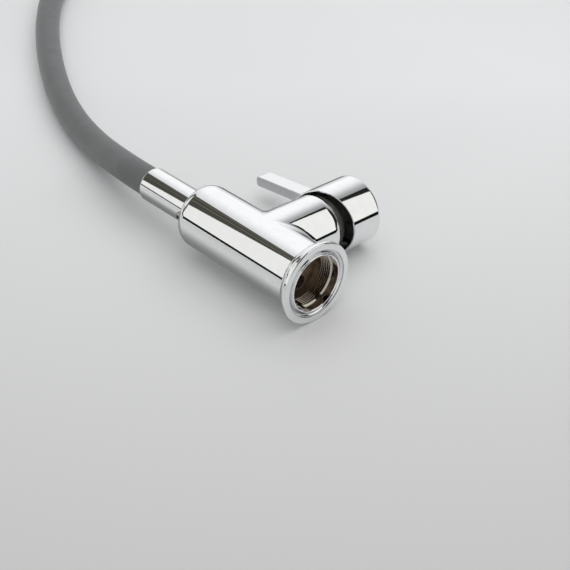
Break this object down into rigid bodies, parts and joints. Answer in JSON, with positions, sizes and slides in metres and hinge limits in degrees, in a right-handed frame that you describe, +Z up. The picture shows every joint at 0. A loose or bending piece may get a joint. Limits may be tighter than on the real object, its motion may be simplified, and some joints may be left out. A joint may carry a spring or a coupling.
{
  "type": "single-lever mixer valve with flexible spray hose",
  "caption": "Chrome single-lever mixer valve with a threaded base flange, side cartridge handle and a flexible silicone hose that ends in a hand spray head.",
  "frame": {"origin": "on the ground under the middle of the valve's box (hose and spray head left out)", "axes": "+X out of the open base along the body axis, +Y towards the cartridge branch, +Z up"},
  "size_m": [0.6827, 0.3943, 0.0541],
  "materials": {
    "chrome": "mirror polished plating",
    "satin_chrome": "satin plating",
    "brass": "cast, unplated, dulled",
    "black_plastic": "black, low gloss",
    "cartridge_plastic": "moulded",
    "ceramic": "lapped",
    "seal_rubber": "smooth",
    "silicone": "matte silicone",
    "liner": "extruded",
    "steel": "turned",
    "index_plastic": "moulded",
    "nozzle_rubber": "soft silicone"
  },
  "bodies": {
    "valve": {"base_flange": "chrome", "body_shell": "chrome", "waterway_core": "brass", "port_seals": "seal_rubber", "cartridge_base": "cartridge_plastic", "fixed_disc": "ceramic", "cartridge_housing": "cartridge_plastic", "dome_nut": "black_plastic", "hose_connector": "brass", "connector_seals": "seal_rubber", "hose_sleeve": "chrome", "sleeve_screw": "steel", "hose": "silicone", "inner_hose": "liner", "head_ferrule": "chrome", "head_connector": "brass", "head_washer": "seal_rubber", "inlet_screen": "steel", "head_shell": "chrome", "spray_plate": "chrome", "spray_nozzles": "nozzle_rubber"},
    "turret": {"turret": "cartridge_plastic", "pivot_pin": "steel"},
    "slider": {"disc_carrier": "cartridge_plastic", "moving_disc": "ceramic"},
    "handle": {"stem": "steel", "cap_hub": "black_plastic", "handle_cap": "chrome", "lever_bar": "satin_chrome", "hub_screw": "steel", "index_plug": "index_plastic"},
    "spray_ring": {"mode_ring": "black_plastic"}
  },
  "joints": [
    {"name": "temperature_turn", "type": "hinge", "parent": "valve", "child": "turret", "pos_m": [0.0312, -0.02887, 0.02705], "axis": [0, 0.9991, -0.0419], "range_deg": [-44, 56]},
    {"name": "handle_tip", "type": "hinge", "parent": "turret", "child": "handle", "pos_m": [0.0312, 0.01409, 0.02525], "axis": [0.1063, -0.0416, -0.9935], "range_deg": [0, 25]},
    {"name": "disc_slide", "type": "slide", "parent": "turret", "child": "slider", "axis": [-0.9943, -0.0044, -0.1062], "range_m": [0, 0.00395]},
    {"name": "mode_turn", "type": "hinge", "parent": "valve", "child": "spray_ring", "pos_m": [-0.58211, 0.32072, 0.01944], "axis": [-0.5286, 0.846, 0.0698], "range_deg": [0, 60]}
  ],
  "couplings": [
    {"joint": "disc_slide", "follows": "handle_tip", "m_per_rad": 0.009}
  ]
}
